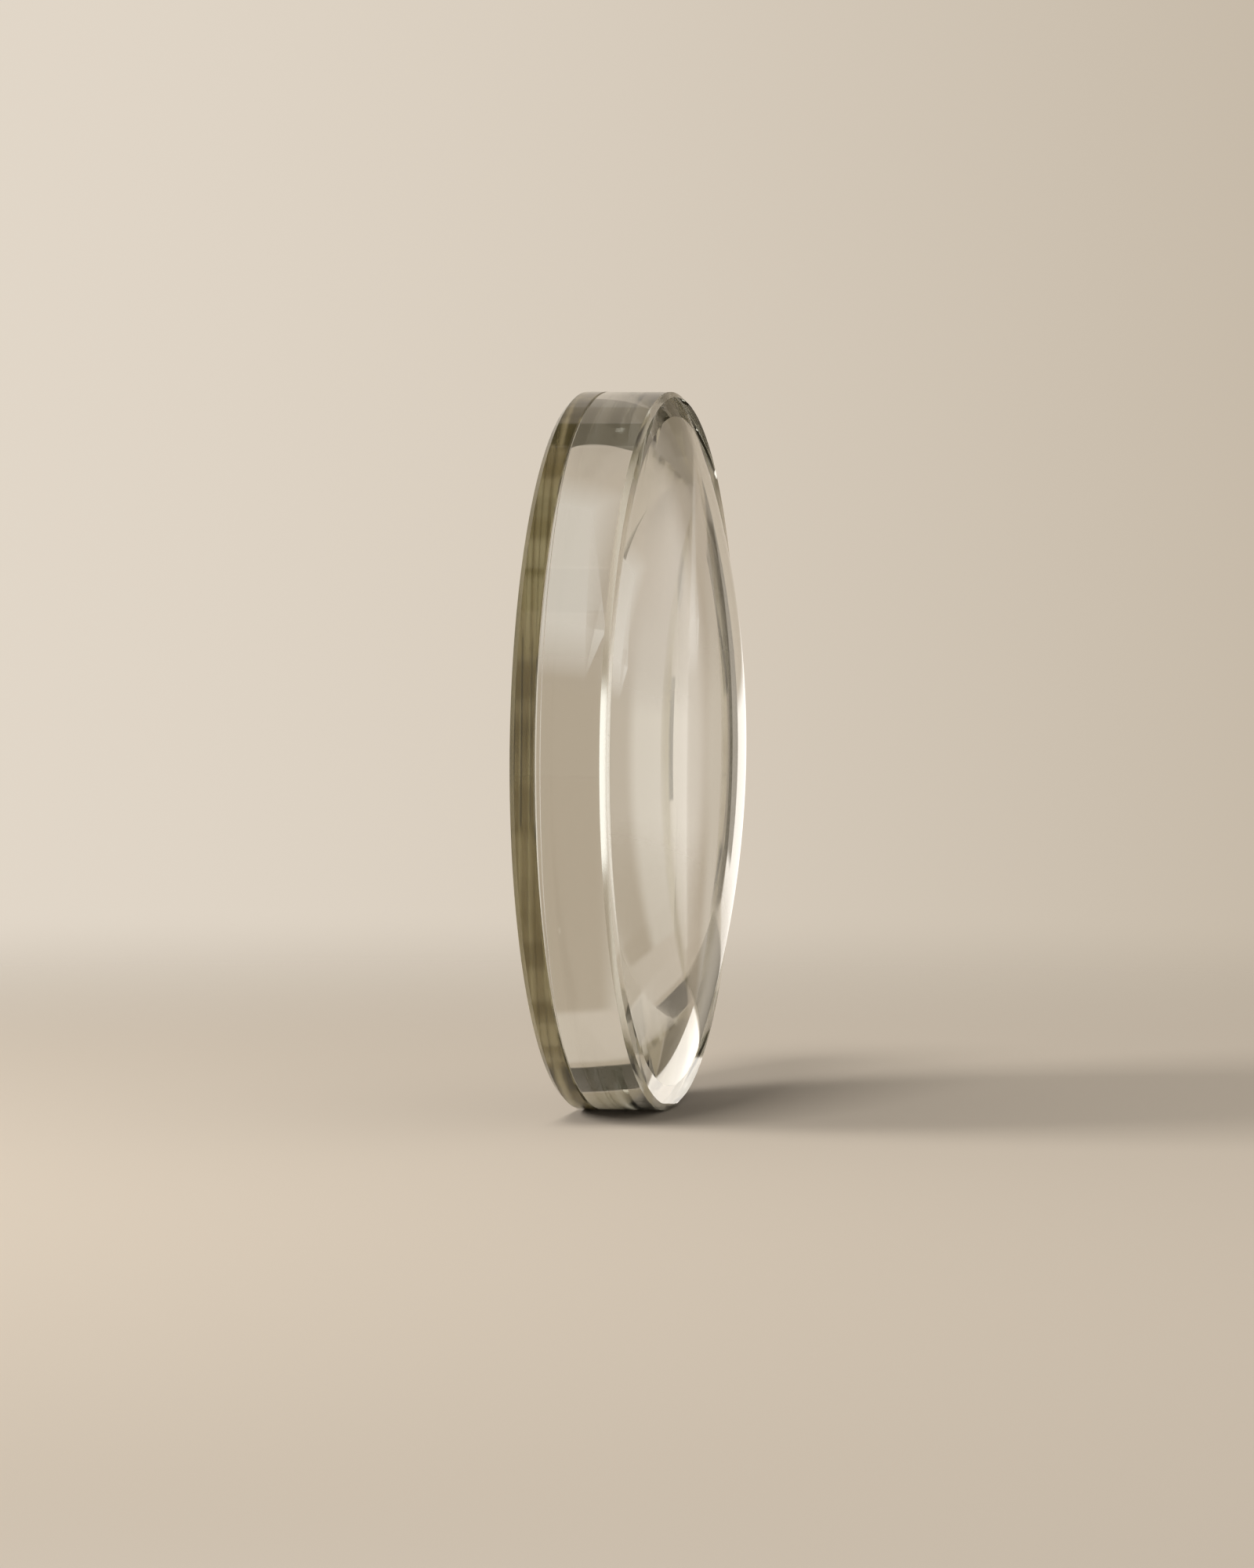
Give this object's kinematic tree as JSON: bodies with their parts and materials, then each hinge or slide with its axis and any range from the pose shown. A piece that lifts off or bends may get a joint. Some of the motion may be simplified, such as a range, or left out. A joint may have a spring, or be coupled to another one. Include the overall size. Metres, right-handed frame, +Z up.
{
  "type": "convex lens",
  "caption": "Round convex lens of clear glass with a domed front inside a narrow flat seat, a flat back, a thick polished rim and a thin olive-tinted element cemented behind.",
  "frame": {"origin": "on the optical axis, half way along the rim", "axes": "+X along the optical axis, out of the domed front face; +Z up, with the lens standing upright on its rim"},
  "size_m": [0.0157, 0.075, 0.075],
  "materials": {
    "clear_glass": "polished",
    "olive_glass": "polished"
  },
  "bodies": {
    "root": {"front_element": "clear_glass", "back_element": "olive_glass"}
  },
  "joints": []
}
